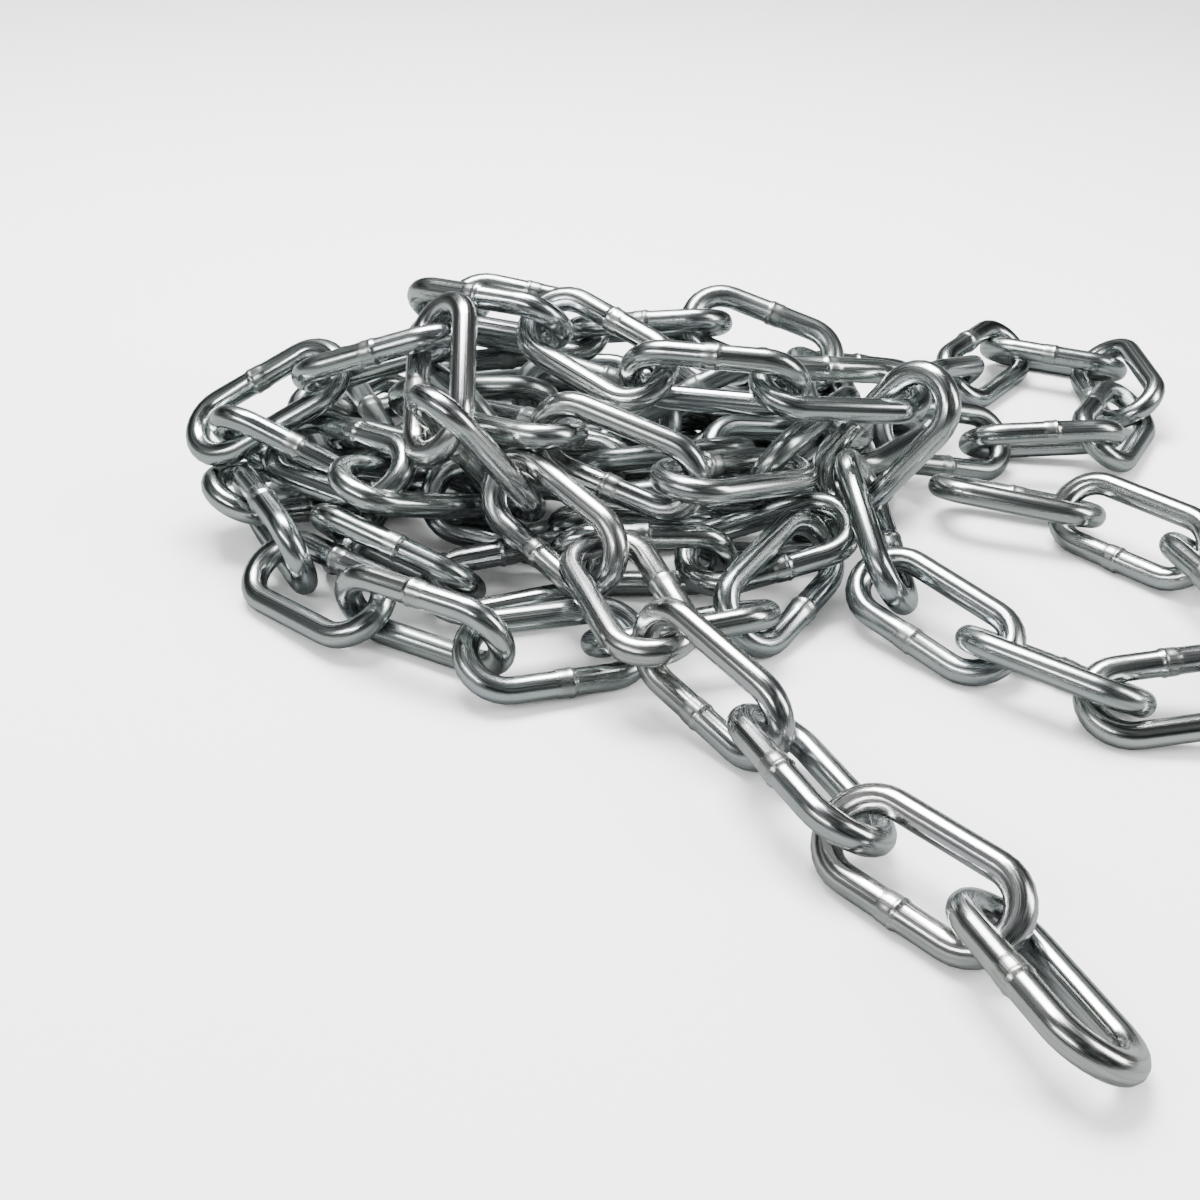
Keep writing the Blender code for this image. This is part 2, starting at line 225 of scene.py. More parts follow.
def leaning(along, leans):
    """Axes of links that run along given lines and lean by given angles."""
    up = np.tile(np.array([0.0, 0.0, 1.0]), (len(along), 1))
    side = unit(cross(along, up))
    angle = np.radians(leans)[:, None]
    across = np.cos(angle) * side + np.sin(angle) * cross(side, along)
    return np.stack([along, across, cross(along, across)], axis=2)


def first_places(points, leans, slack):
    """Each link between its two bearing points, or with its tip at the first where it hangs slack.

    Columns of its turn: along, across, up.
    """
    along = unit(points[1:] - points[:-1])
    middle = (points[1:] + points[:-1]) / 2
    middle[slack] = points[slack] + TIP * along[slack]
    return middle, leaning(along, leans)


def loops(middle, turn, width):
    """World corners of every link's centreline, with its width squeezed to a share."""
    along = LOOP[:, 0][None, :, None] * turn[:, None, :, 0]
    across = (width * LOOP[:, 1])[None, :, None] * turn[:, None, :, 1]
    return middle[:, None, :] + along + across


def nearest(start_a, end_a, start_b, end_b):
    """Nearest points of pairs of straight pieces."""
    run_a, run_b, apart = end_a - start_a, end_b - start_b, start_a - start_b
    aa, bb, ab = dot(run_a, run_a), dot(run_b, run_b), dot(run_a, run_b)
    ca, cb = dot(run_a, apart), dot(run_b, apart)
    skew = aa * bb - ab * ab
    s = np.where(skew > LEAST, np.clip((ab * cb - ca * bb) / np.maximum(skew, LEAST), 0, 1), 0.0)
    t = np.clip((ab * s + cb) / bb, 0, 1)
    s = np.clip((ab * t - ca) / aa, 0, 1)
    return start_a + s[:, None] * run_a, start_b + t[:, None] * run_b


class Moves:
    """Shifts and turns that a pass asks of the links."""

    def __init__(self, middle, turn):
        self.middle, self.turn = middle, turn
        self.shift = np.zeros_like(middle)
        self.spin = np.zeros_like(middle)
        self.asked = np.zeros(len(middle))

    def share(self, link, point, push):
        """How easily a point of a link gives way to a push, and the turn that goes with it."""
        torque = cross(point - self.middle[link], push)
        local = np.stack([dot(self.turn[link][:, :, k], torque) for k in range(3)], axis=-1)
        eased = local * TURN_EASE
        spin = sum(self.turn[link][:, :, k] * eased[:, k, None] for k in range(3))
        return 1 + dot(local, eased), spin

    def add(self, link, amount, push, spin):
        """Note a push and its turn for each link."""
        np.add.at(self.shift, link, amount[:, None] * push)
        np.add.at(self.spin, link, amount[:, None] * spin)
        np.add.at(self.asked, link, 1.0)

    def part(self, link_a, link_b, point_a, point_b, amount):
        """Part two links by an amount at their nearest points, or draw them together if it is negative."""
        push = unit(point_a - point_b)
        give_a, spin_a = self.share(link_a, point_a, push)
        give_b, spin_b = self.share(link_b, point_b, push)
        each = amount / (give_a + give_b)
        self.add(link_a, each, push, spin_a)
        self.add(link_b, -each, push, spin_b)

    def lift(self, link, point, amount):
        """Lift a link at a point."""
        push = np.tile(np.array([0.0, 0.0, 1.0]), (len(link), 1))
        give, spin = self.share(link, point, push)
        self.add(link, amount / give, push, spin)


def piece_pairs(links_a, links_b, corners):
    """Nearest points of every straight piece of each first link to every one of its partner."""
    count = CORNERS * CORNERS
    a, b = np.repeat(links_a, count), np.repeat(links_b, count)
    piece_a = np.tile(np.repeat(np.arange(CORNERS), CORNERS), len(links_a))
    piece_b = np.tile(np.tile(np.arange(CORNERS), CORNERS), len(links_a))
    point_a, point_b = nearest(corners[a, piece_a], corners[a, (piece_a + 1) % CORNERS],
                               corners[b, piece_b], corners[b, (piece_b + 1) % CORNERS])
    gap = np.sqrt(dot(point_a - point_b, point_a - point_b))
    return a, b, point_a, point_b, gap


def turned(turn, spin):
    """Each link's axes turned by its rotation vector and squared up again."""
    angle = np.sqrt(dot(spin, spin))
    axis = spin / np.maximum(angle, LEAST_ANGLE)[:, None]
    cosine, sine = np.cos(angle)[:, None], np.sin(angle)[:, None]
    columns = []
    for k in range(2):
        v = turn[:, :, k]
        columns.append(v * cosine + cross(axis, v) * sine + axis * dot(axis, v)[:, None] * (1 - cosine))
    along = unit(columns[0])
    across = unit(columns[1] - dot(columns[1], along)[:, None] * along)
    return np.stack([along, across, cross(along, across)], axis=2)


def lay_down(middle, turn, resting, leans):
    """Set the resting links level, each on the lower bar that its lean gives it."""
    middle[resting, 2] = RESTING_HEIGHT
    level = turn[resting, :, 0].copy()
    level[:, 2] = 0.0
    turn[resting] = leaning(unit(level), leans)


def ease_apart(middle, turn, hold, joined, resting):
    """Open the squeezed loops out and part the links until no two wires overlap."""
    count = len(middle)
    home = middle.copy()
    near = np.arange(count - 1)
    rest_gap = np.where(joined, JOINED, CLEARANCE)
    for step in range(PASSES):
        grown = min(1.0, (step + 1) / GROWING)
        width = SQUEEZED + (1 - SQUEEZED) * grown
        stranger_gap = FIRST_GAP + (CLEARANCE - FIRST_GAP) * grown
        moves = Moves(middle, turn)

        if step % LOOK_AGAIN == 0:
            apart = middle[:, None, :] - middle[None, :, :]
            reach = np.sqrt(dot(apart, apart)) < 2 * TIP + CLEARANCE + LOOK_BEYOND
            strangers = np.nonzero(np.triu(reach, 2))
        found = piece_pairs(strangers[0], strangers[1], loops(middle, turn, width))
        tight = found[4] < stranger_gap
        moves.part(*[item[tight] for item in found[:4]], stranger_gap - found[4][tight])

        corners = loops(middle, turn, 1.0)
        found = piece_pairs(near, near + 1, corners)
        wanted = rest_gap[found[0]]
        tight = found[4] < wanted
        moves.part(*[item[tight] for item in found[:4]], (wanted - found[4])[tight])

        closest = found[4].reshape(count - 1, -1).argmin(axis=1) + near * CORNERS * CORNERS
        slack = found[4][closest] - rest_gap - PLAY
        loose = closest[slack > 0]
        moves.part(*[item[loose] for item in found[:4]], -slack[slack > 0])

        low_link, low_corner = np.nonzero(corners[:, :, 2] < WIRE_CORNER)
        low_point = corners[low_link, low_corner]
        moves.lift(low_link, low_point, FIRM_FLOOR * (WIRE_CORNER - low_point[:, 2]))

        asked = np.maximum(moves.asked, 1.0)[:, None]
        overshoot = OVERSHOOT if step < PASSES * OVERSHOOT_UNTIL else 1.0
        gain = overshoot * np.minimum(asked, PUSHES_IN_FULL) / asked
        shift, spin = moves.shift * gain, moves.spin * gain
        fade = min(1.0, max(0.0, (PASSES * FADED_AT - step) / (PASSES * FADES_OVER)))
        shift += PULL_BACK * fade * hold[:, None] * (home - middle)
        shift[:, 2] -= SINK * fade * (middle[:, 2] > SINK_ABOVE)
        length = np.sqrt(dot(shift, shift))
        shift *= np.minimum(1.0, LONGEST_STEP / np.maximum(length, LEAST))[:, None]
        angle = np.sqrt(dot(spin, spin))
        spin *= np.minimum(1.0, LARGEST_TURN / np.maximum(angle, LEAST))[:, None]
        middle = middle + shift
        turn = turned(turn, spin)
        lay_down(middle, turn, *resting)
        middle, turn = np.round(middle, DECIMALS), np.round(turn, TURN_DECIMALS)
    return middle, turn


def share_nodes(own):
    """Groups of links that share a node, and which links are joined to the next one."""
    groups, joined = [], []
    for index, single in enumerate(own):
        shares = index > 0 and not single and not own[index - 1]
        shares = shares and len(groups[-1]) < LINKS_IN_A_SHARED_NODE
        if shares:
            groups[-1].append(index)
        else:
            groups.append([index])
        if index:
            joined.append(shares)
    return groups, np.array(joined)


def laid_chain():
    """Middle, axes and name of every link, and the groups of links that share a node."""
    points, leans, hold, names, own, resting, slack = read_strands()
    groups, joined = share_nodes(own)
    middle, turn = first_places(points, leans, slack)
    middle, turn = ease_apart(middle, turn, hold, joined, (resting, leans[resting]))
    return middle, turn, names, groups


# Detail of the wire, in millimetres unless named otherwise
AROUND = 24                                         # sides of the round section
CROWN_FACES = 14                                    # faces along each crown
# Weld collar: place as a share of its length from its middle, and share of its height there
WELD_STEPS = ((-0.5, 0.0), (-0.42, 0.20), (-0.34, 0.60), (-0.28, 0.95), (-0.22, 1.0), (-0.16, 0.70),
              (-0.08, 0.60), (0.02, 0.64), (0.12, 0.60), (0.22, 0.58), (0.32, 0.42), (0.42, 0.16),
              (0.5, 0.0))
WELD_SLIDE = 0.7                                    # how far a weld sits off the middle of its bar
FACING_WELDS = 0.6                                  # share with the weld in the higher bar

# Warmth of the outer strands' plate, and the weight of painted shade, with some added roughness, on the inner
# and rear ones
WARM_STRANDS = {"front_tail": 0.75, "right_strand": 0.45, "centre": 0.35}
SHADED_AND_DULL_STRANDS = {"middle": 0.9, "floor_inner": 1.0, "upper": 0.45, "floor_ring": 0.4, "centre": 0.3,
                "back_loop": 0.2}
COMMON_WARMTH = 0.15                                # warmth of the other strands' plate
WARMTH_SPREAD = (-0.15, 0.25)                       # how it varies from link to link
WELD_HEIGHTS = (0.75, 1.15)                         # as shares of the weld height
PATTERN_STARTS = (0.0, 400.0)                       # place of a link along the drawn wire
RANDOM_SEED = 41
MERGE = 1e-4                                        # corners this close are one
MOST_ASTRAY = 0.1                                   # how far a link may lie from its node

# Place of the photograph's camera before the heap is centred, in millimetres and degrees
EYE = (0.0, -300.0, 163.0)
EYE_PITCH = 31.0
EYE_ROLL = 2.5
EYE_FOCUS = 1600.0                                  # pixels, on an image 1200 across
IMAGE_ACROSS = 1200.0
SENSOR = 36.0

# Side of the link where the photograph shows its weld, as a direction in the picture
ABOVE, BELOW, LEFT, RIGHT = (0.0, 1.0), (0.0, -1.0), (-1.0, 0.0), (1.0, 0.0)
WELD_SIDES = {("front_tail", 2): BELOW, ("front_tail", 3): ABOVE, ("front_tail", 4): BELOW,
              ("front_tail", 5): ABOVE, ("front_tail", 6): BELOW, ("front_tail", 8): LEFT,
              ("upper_left", 2): ABOVE, ("big_left", 1): ABOVE, ("left_edge", 2): ABOVE,
              ("left_edge", 3): ABOVE, ("left_edge", 5): BELOW, ("left_edge", 7): BELOW,
              ("under_front", 4): ABOVE, ("top", 2): ABOVE, ("top", 3): ABOVE, ("top", 4): ABOVE,
              ("top", 6): RIGHT, ("right_strand", 1): BELOW, ("centre", 2): BELOW}


@functools.lru_cache(maxsize=1)
def chain_in_row():
    """The chain as laid, moved to the row's frame, whose links with their own node are checked."""
    middle, turn, names, groups = laid_chain()
    shifts = []
    for group in groups:
        if len(group) == 1:
            low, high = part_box(node_name(names, group))
            shifts.append(PER_METRE / 2 * (np.array(low) + np.array(high)) - middle[group[0]])
    shift = np.median(np.array(shifts), axis=0)
    astray = np.abs(np.array(shifts) - shift).max()
    if astray > MOST_ASTRAY:
        raise RuntimeError(f"a link lies {astray:.2f} mm from its node")
    middle = middle + shift
    # Round wire reaches lower than a facet does
    resting = np.array([names.index(item) for item in RESTING_LINKS])
    middle[resting, 2] += WIRE / 2 - WIRE_FLAT
    return middle, turn, names, groups, shift


def node_name(names, group):
    """Name of the node that a group of links has."""
    strand, place = names[group[0]]
    kind = "link" if len(group) == 1 else "run"
    return f"{strand}_{kind}_{place:02d}"


def sweep(mesh, ring, shift, factor):
    """Extrude a ring along its bar by a shift, and scale it about the bar's middle line."""
    out = bmesh.ops.extrude_edge_only(mesh, edges=ring)["geom"]
    corners = [item for item in out if isinstance(item, bmesh.types.BMVert)]
    bmesh.ops.translate(mesh, verts=corners, vec=Vector((shift, 0, 0)))
    heart = sum((corner.co for corner in corners), Vector()) / len(corners)
    bmesh.ops.scale(mesh, verts=corners, vec=(1, factor, factor), space=Matrix.Translation(-heart))
    return [item for item in out if isinstance(item, bmesh.types.BMEdge)]


def bend(mesh, ring, end):
    """Bend a ring round one crown."""
    out = bmesh.ops.spin(mesh, geom=ring, cent=(end * HALF_BAR, 0, 0), axis=(0, 0, 1),
                         angle=math.pi, steps=CROWN_FACES)["geom_last"]
    return [item for item in out if isinstance(item, bmesh.types.BMEdge)]


def wire_place(point):
    """Where a point lies in the straightened wire: along it from the welded bar's middle, and across it."""
    x, y, z = point
    if abs(x) > HALF_BAR:
        along = HALF_BAR + BEND * math.atan2(abs(x) - HALF_BAR, -y)
        out = math.hypot(abs(x) - HALF_BAR, y) - BEND
    elif y < 0:
        along = abs(x)
        out = -y - BEND
    else:
        along = 2 * HALF_BAR + math.pi * BEND - abs(x)
        out = y - BEND
    return Vector((along, out, z))


def round_link(sizes, weld_at, weld_height, start, tone, shade_and_dullness):
    """One link of round wire in millimetres, with its weld in the bar on the negative side."""
    mesh = bmesh.new()
    radius = PER_METRE * sizes.wire / 2
    place = (Matrix.Translation((-HALF_BAR, -BEND, 0))
             @ Matrix.Rotation(math.radians(90), 4, "Y") @ Matrix.Rotation(math.radians(90), 4, "Z"))
    bmesh.ops.create_circle(mesh, segments=AROUND, radius=radius, matrix=place)
    ring = list(mesh.edges)
    at, size = -HALF_BAR, 1.0
    for share, rise in WELD_STEPS + ((None, 0.0),):
        to = HALF_BAR if share is None else weld_at + share * sizes.weld_length * PER_METRE
        grown = 1.0 + rise * weld_height / radius
        ring = sweep(mesh, ring, to - at, grown / size)
        at, size = to, grown
    ring = bend(mesh, ring, 1)
    ring = sweep(mesh, ring, -2 * HALF_BAR, 1.0)
    bend(mesh, ring, -1)
    bmesh.ops.remove_doubles(mesh, verts=mesh.verts, dist=MERGE)
    bmesh.ops.recalc_face_normals(mesh, faces=mesh.faces)
    lie = mesh.verts.layers.float_vector.new("wire_place")
    beside = mesh.verts.layers.float_vector.new("weld_place")
    hue = mesh.verts.layers.float.new("tone")
    # Weight of the painted shade on this link, which also makes it rougher
    shade_layer = mesh.verts.layers.float.new("shade_and_dullness")
    for vertex in mesh.verts:
        found = wire_place(vertex.co)
        vertex[lie] = found + Vector((start, 0, 0))
        vertex[beside] = Vector((abs(vertex.co.x - weld_at) if vertex.co.y < 0 else found.x, 0, 0))
        vertex[hue] = tone
        vertex[shade_layer] = shade_and_dullness
    for face in mesh.faces:
        face.smooth = True
    return mesh


def link_habits(names):
    """Habits of every link: its weld's side, place and height, its pattern, its tone, and the weight of its
    painted shade and added roughness.
    """
    draw = random.Random(RANDOM_SEED)
    habits = []
    for strand, place in names:
        side = ABOVE if draw.random() < FACING_WELDS else BELOW
        side = WELD_SIDES.get((strand, place), side)
        slide = draw.uniform(-WELD_SLIDE, WELD_SLIDE)
        height = draw.uniform(*WELD_HEIGHTS)
        start = draw.uniform(*PATTERN_STARTS)
        tone = min(1.0, WARM_STRANDS.get(strand, COMMON_WARMTH) + draw.uniform(*WARMTH_SPREAD))
        habits.append((side, slide, height, start, tone, SHADED_AND_DULL_STRANDS.get(strand, 0.0)))
    return habits


def link_piece(name, group, middle, turn, habits, sizes):
    """A scene object for a node: its links as round wire, each at its place in the heap."""
    pitch = math.radians(EYE_PITCH)
    whole = bmesh.new()
    for index in group:
        side, slide, height, *look = habits[index]
        link = round_link(sizes, slide, height * sizes.weld_height * PER_METRE, *look)
        across = turn[index][:, 1]
        upward = math.sin(pitch) * across[1] + math.cos(pitch) * across[2]
        if side[0] * across[0] + side[1] * upward > 0:
            half_turn = Matrix.Rotation(math.pi, 3, "Z")
            bmesh.ops.rotate(link, verts=link.verts, cent=(0, 0, 0), matrix=half_turn)
        rows = [[*(turn[index][row] / PER_METRE), middle[index][row] / PER_METRE] for row in range(3)]
        bmesh.ops.transform(link, matrix=Matrix(rows + [[0, 0, 0, 1]]), verts=link.verts)
        for vertex in link.verts:
            vertex.co.z = max(0.0, vertex.co.z)
        part = bpy.data.meshes.new("part")
        link.to_mesh(part)
        link.free()
        whole.from_mesh(part)
        bpy.data.meshes.remove(part)
    shape = bpy.data.meshes.new(name)
    whole.to_mesh(shape)
    whole.free()
    piece = bpy.data.objects.new(name, shape)
    bpy.context.scene.collection.objects.link(piece)
    return piece


def add_links(context, shared):
    """Dress every node that holds one link, or every node that several links share."""
    scene = context.scene
    middle, turn, names, groups, _ = chain_in_row()
    habits = link_habits(names)
    finish = zinc_material(scene.chain_zinc)
    for group in groups:
        if (len(group) > 1) == shared:
            node = node_name(names, group)
            piece = link_piece("round_" + node, group, middle, turn, habits, scene.chain_sizes)
            piece.data.materials.append(finish)
            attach(piece, "root")
            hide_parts(node)


# Noise over the straightened wire, in millimetres: stretch by axis, scale, detail, roughness
DRAW_LINES = ((0.012, 1.5, 1.5), 1.0, 2.0, 0.5)
FINE_LINES = ((0.03, 5.0, 5.0), 1.0, 2.0, 0.5)
BROAD_PATCHES = ((0.09, 0.3, 0.3), 1.0, 2.0, 0.5)

# Noise over the heap and the floor, in metres, and over the room by direction
CLOUDS = ((60.0, 60.0, 60.0), 1.0, 3.0, 0.55)
FLOOR_MOTTLE = ((1.0, 1.0, 1.0), 9.0, 3.0, 0.5)
ROOM_BANDS = ((1.1, 1.1, 4.5), 1.6, 3.0, 0.55)

# How noise or a distance becomes a share: from low, from high, to low, to high
WELD_REACH = (0.6, 2.6, 1.0, 0.0)                   # from millimetres along the wire from the weld
TINTED = (0.42, 0.62, 0.0, 0.5)
DULL_PATCHES = (0.35, 0.75, 0.0, 0.5)
STREAKS = (0.50, 0.68, 0.0, 0.55)
MOTTLED = (0.3, 0.7, 0.0, 0.3)
PALE_BANDS = (0.50, 0.62, 0.0, 1.0)
LOW_WALLS = (0.0, 0.30, 1.0, 0.0)                   # from the height of the direction looked in

# Shares of the weld's greyer scale and of the painted shade, and what roughness adds where
SCALE_AT_WELD = 0.32
PAINTED_SHADE_SHARE = 0.6
LINES_TO_ROUGHNESS = (0.3, 0.7)
LEAST_AND_MOST_ROUGH = (0.75, 1.4)                  # as shares of the plate's roughness
PATCH_ROUGHNESS = (0.4, 0.8, 0.0, 0.08)
WELD_ROUGHNESS = 0.08
INNER_ROUGHNESS = 0.07
FINE_LINE_DEPTH, PATCH_DEPTH = 0.18, 0.8            # as shares of the draw lines' depth
FLOOR_ROUGHNESS = 0.75
FLOOR_DARKER = 0.97

# Lights, in metres: place, size across and down, colour
LIGHTS = {"key": ((-0.10, 0.22, 0.62), (0.42, 0.30), (1.0, 1.0, 1.0)),
          "side": ((0.62, -0.10, 0.42), (0.20, 0.50), (1.0, 0.99, 0.97)),
          "strip": ((-0.42, -0.46, 0.40), (0.50, 0.05), (1.0, 1.0, 1.0))}
LIT_POINT = Vector((0.0, 0.0, 0.02))
FLOOR_REACH = 4.0                                   # from the middle of the floor to its edges
CLIP_START = 0.01

# Places of shader nodes in the editor
NODE_ROWS = 4
NODE_ACROSS, NODE_DOWN = 240, 320


class Nodes:
    """Short calls for adding and joining shader nodes."""

    def __init__(self, tree):
        self.tree = tree

    def add(self, kind, feeds=None, **settings):
        """A new node in the next free place, with its settings and what feeds its inputs."""
        column, row = divmod(len(self.tree.nodes), NODE_ROWS)
        node = self.tree.nodes.new(kind)
        node.location = (column * NODE_ACROSS, -row * NODE_DOWN)
        for key, value in settings.items():
            setattr(node, key, value)
        for key, value in (feeds or {}).items():
            self.feed(value, node.inputs[key])
        return node

    def feed(self, value, socket):
        """Join an output to a socket, or set the socket to a plain value."""
        if isinstance(value, bpy.types.NodeSocket):
            self.tree.links.new(value, socket)
        else:
            socket.default_value = value

    def attribute(self, name, output):
        """What a vertex attribute holds."""
        return self.add("ShaderNodeAttribute", attribute_name=name).outputs[output]

    def coordinates(self, kind):
        """Texture coordinates of a kind."""
        return self.add("ShaderNodeTexCoord").outputs[kind]

    def noise(self, vector, stretch, scale, detail, roughness):
        """Noise over a vector, which is first stretched along each axis."""
        stretched = self.add("ShaderNodeMapping", {"Vector": vector, "Scale": stretch}).outputs["Vector"]
        feeds = {"Vector": stretched, "Scale": scale, "Detail": detail, "Roughness": roughness}
        return self.add("ShaderNodeTexNoise", feeds).outputs["Fac"]

    def remap(self, value, low, high, to_low, to_high):
        """A value eased from one range into another."""
        feeds = {"Value": value, "From Min": low, "From Max": high, "To Min": to_low, "To Max": to_high}
        return self.add("ShaderNodeMapRange", feeds, interpolation_type="SMOOTHSTEP").outputs["Result"]

    def maths(self, operation, a, b):
        """Two values added, multiplied or compared."""
        return self.add("ShaderNodeMath", {0: a, 1: b}, operation=operation).outputs["Value"]

    def axis(self, vector, name):
        """One component of a vector."""
        return self.add("ShaderNodeSeparateXYZ", {0: vector}).outputs[name]

    def blend(self, factor, a, b):
        """One colour blended into another."""
        node = self.add("ShaderNodeMix", {"Factor": factor}, data_type="RGBA")
        for key, value in (("A", a), ("B", b)):
            socket = [item for item in node.inputs if item.name == key and item.type == "RGBA"][0]
            self.feed(value if isinstance(value, bpy.types.NodeSocket) else (*value, 1.0), socket)
        return [item for item in node.outputs if item.type == "RGBA"][0]

    def mix_shaders(self, factor, a, b):
        """One shader mixed into another."""
        return self.add("ShaderNodeMixShader", {0: factor, 1: a, 2: b}).outputs["Shader"]

    def background(self, colour, strength):
        """A background of a colour."""
        return self.add("ShaderNodeBackground", {"Color": colour, "Strength": strength}).outputs["Background"]


def new_material(name):
    """A new material, its nodes and its shader."""
    material = bpy.data.materials.new(name)
    material.use_nodes = True
    return material, Nodes(material.node_tree), material.node_tree.nodes["Principled BSDF"]


def zinc_material(look):
    """Bright zinc plate on drawn wire: fine lines along it, faint tints, a greyer weld, and painted shade
    with added roughness on the inner links.
    """
    if "zinc_plate" in bpy.data.materials:
        return bpy.data.materials["zinc_plate"]
    material, nodes, shader = new_material("zinc_plate")
    lie = nodes.attribute("wire_place", "Vector")
    tone = nodes.attribute("tone", "Fac")
    shade_and_dullness = nodes.attribute("shade_and_dullness", "Fac")
    near_weld = nodes.remap(nodes.axis(nodes.attribute("weld_place", "Vector"), "X"), *WELD_REACH)
    lines = nodes.noise(lie, *DRAW_LINES)
    fine = nodes.noise(lie, *FINE_LINES)
    broad = nodes.noise(lie, *BROAD_PATCHES)
    cloud = nodes.noise(nodes.coordinates("Object"), *CLOUDS)

    plate = nodes.blend(tone, look.cool_plate, look.warm_plate)
    plate = nodes.blend(nodes.remap(cloud, *TINTED), plate, look.tinted_plate)
    plate = nodes.blend(nodes.remap(broad, *DULL_PATCHES), plate, look.dull_plate)
    plate = nodes.blend(nodes.remap(lines, *STREAKS), plate, look.dull_plate)
    plate = nodes.blend(nodes.maths("MULTIPLY", near_weld, SCALE_AT_WELD), plate, look.weld_scale)
    # Painted shade: links deep in the heap darkened towards a near-black plate
    plate = nodes.blend(nodes.maths("MULTIPLY", shade_and_dullness, PAINTED_SHADE_SHARE), plate, look.painted_shade_plate)

    least, most = (share * look.roughness for share in LEAST_AND_MOST_ROUGH)
    rough = nodes.remap(fine, *LINES_TO_ROUGHNESS, least, most)
    rough = nodes.maths("ADD", rough, nodes.remap(broad, *PATCH_ROUGHNESS))
    rough = nodes.maths("ADD", rough, nodes.maths("MULTIPLY", near_weld, WELD_ROUGHNESS))
    rough = nodes.maths("ADD", rough, nodes.maths("MULTIPLY", shade_and_dullness, INNER_ROUGHNESS))

    height = nodes.maths("ADD", lines, nodes.maths("MULTIPLY", fine, FINE_LINE_DEPTH))
    height = nodes.maths("ADD", height, nodes.maths("MULTIPLY", broad, PATCH_DEPTH))
    bump = nodes.add("ShaderNodeBump", {"Distance": look.line_depth, "Strength": 1.0, "Height": height})
    feeds = {"Metallic": 1.0, "Base Color": plate, "Roughness": rough, "Normal": bump.outputs["Normal"]}
    for key, value in feeds.items():
        nodes.feed(value, shader.inputs[key])
    return material


def floor_material(look):
    """Plain pale floor, very faintly mottled, that the metal reflects as a dimmer one."""
    material, nodes, shader = new_material("pale_floor")
    mottle = nodes.remap(nodes.noise(nodes.coordinates("Object"), *FLOOR_MOTTLE), *MOTTLED)
    darker = [FLOOR_DARKER * part for part in look.floor_colour]
    nodes.feed(nodes.blend(mottle, look.floor_colour, darker), shader.inputs["Base Color"])
    nodes.feed(FLOOR_ROUGHNESS, shader.inputs["Roughness"])
    mirrored = nodes.add("ShaderNodeBsdfDiffuse", {"Color": (*look.mirrored_floor, 1.0)})
    glossy = nodes.add("ShaderNodeLightPath").outputs["Is Glossy Ray"]
    surface = nodes.mix_shaders(glossy, shader.outputs["BSDF"], mirrored.outputs["BSDF"])
    nodes.feed(surface, material.node_tree.nodes["Material Output"].inputs["Surface"])
    return material


def add_light(name, place, across, colour, power):
    """A soft rectangular light that looks at the heap."""
    lamp = bpy.data.lights.new(name, "AREA")
    lamp.shape = "RECTANGLE"
    lamp.size, lamp.size_y = across
    lamp.energy = power
    lamp.color = colour
    thing = bpy.data.objects.new(name, lamp)
    thing.location = place
    thing.rotation_euler = (LIT_POINT - Vector(place)).to_track_quat("-Z", "Y").to_euler()
    bpy.context.scene.collection.objects.link(thing)


def add_camera(shift):
    """The camera at the photograph's viewing angle."""
    pitch, roll = math.radians(EYE_PITCH), math.radians(EYE_ROLL)
    ahead = Vector((0.0, math.cos(pitch), -math.sin(pitch)))
    level, upright = Vector((1.0, 0.0, 0.0)), Vector((0.0, math.sin(pitch), math.cos(pitch)))
    right = math.cos(roll) * level + math.sin(roll) * upright
    above = math.cos(roll) * upright - math.sin(roll) * level
    lens = bpy.data.cameras.new("camera")
    lens.sensor_fit = "HORIZONTAL"
    lens.sensor_width = SENSOR
    lens.lens = SENSOR * EYE_FOCUS / IMAGE_ACROSS
    lens.clip_start = CLIP_START
    camera = bpy.data.objects.new("camera", lens)
    turn = Matrix((right, above, -ahead)).transposed().to_4x4()
    camera.matrix_world = Matrix.Translation((Vector(EYE) + Vector(shift)) / PER_METRE) @ turn
    bpy.context.scene.collection.objects.link(camera)
    bpy.context.scene.camera = camera


def add_surroundings(look):
    """A pale room that fills the floor, and whose dim banded walls and ceiling the metal reflects."""
    world = bpy.data.worlds.new("room")
    world.use_nodes = True
    world.node_tree.nodes.clear()
    nodes = Nodes(world.node_tree)
    way = nodes.coordinates("Generated")
    bands = nodes.remap(nodes.noise(way, *ROOM_BANDS), *PALE_BANDS)
    walls = nodes.blend(bands, look.dark_room, look.pale_room)
    walls = nodes.blend(nodes.remap(nodes.axis(way, "Z"), *LOW_WALLS), walls, look.backdrop)
    path = nodes.add("ShaderNodeLightPath")
    plain = nodes.maths("MAXIMUM", path.outputs["Is Camera Ray"], path.outputs["Is Diffuse Ray"])
    mirrored = nodes.background(walls, look.room_strength)
    fill = nodes.background((*look.floor_colour, 1.0), look.fill_strength)
    nodes.add("ShaderNodeOutputWorld", {"Surface": nodes.mix_shaders(plain, mirrored, fill)})
    bpy.context.scene.world = world


class ChainSizes(bpy.types.PropertyGroup):
    """Sizes of the wire and the weld."""

    wire: bpy.props.FloatProperty(name="Wire", description="Diameter of the round wire",
                                  default=WIRE / PER_METRE, unit="LENGTH")
    weld_length: bpy.props.FloatProperty(name="Weld Length", description="Length of the weld's collar",
                                         default=0.0042, unit="LENGTH")
    weld_height: bpy.props.FloatProperty(name="Weld Height", description="Height of the weld's collar",
                                         default=0.00034, unit="LENGTH")


